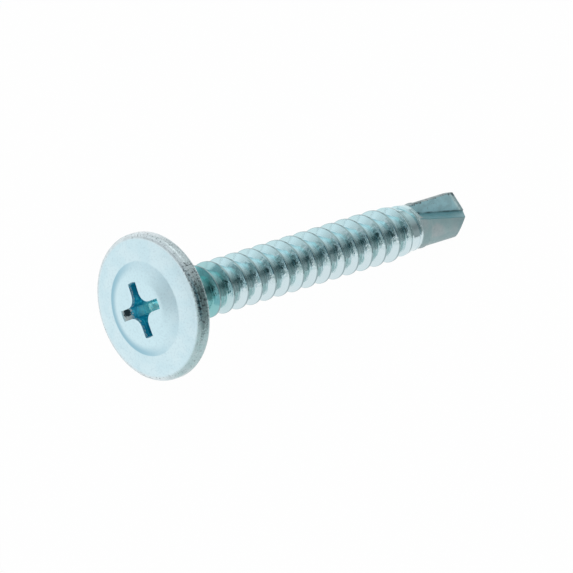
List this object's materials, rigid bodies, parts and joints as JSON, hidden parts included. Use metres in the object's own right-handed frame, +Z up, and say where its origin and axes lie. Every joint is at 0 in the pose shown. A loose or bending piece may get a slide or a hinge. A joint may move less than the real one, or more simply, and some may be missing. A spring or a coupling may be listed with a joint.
{
  "type": "self drilling screw",
  "caption": "Self-drilling screw with a wide flat washer head, cross recess, full-length sheet-metal thread and fluted drill point, lying on its side.",
  "frame": {"origin": "on the surface it lies on, under the middle of its bounding box", "axes": "+Z up, +X towards the drill point, whose axis dips by 8 degrees because the head is the wider end"},
  "size_m": [0.0328, 0.011, 0.0109],
  "materials": {
    "zinc_plate": "blue-white zinc plating on hardened steel, satin, slightly grainy"
  },
  "bodies": {
    "root": {"screw": "zinc_plate"}
  },
  "joints": []
}
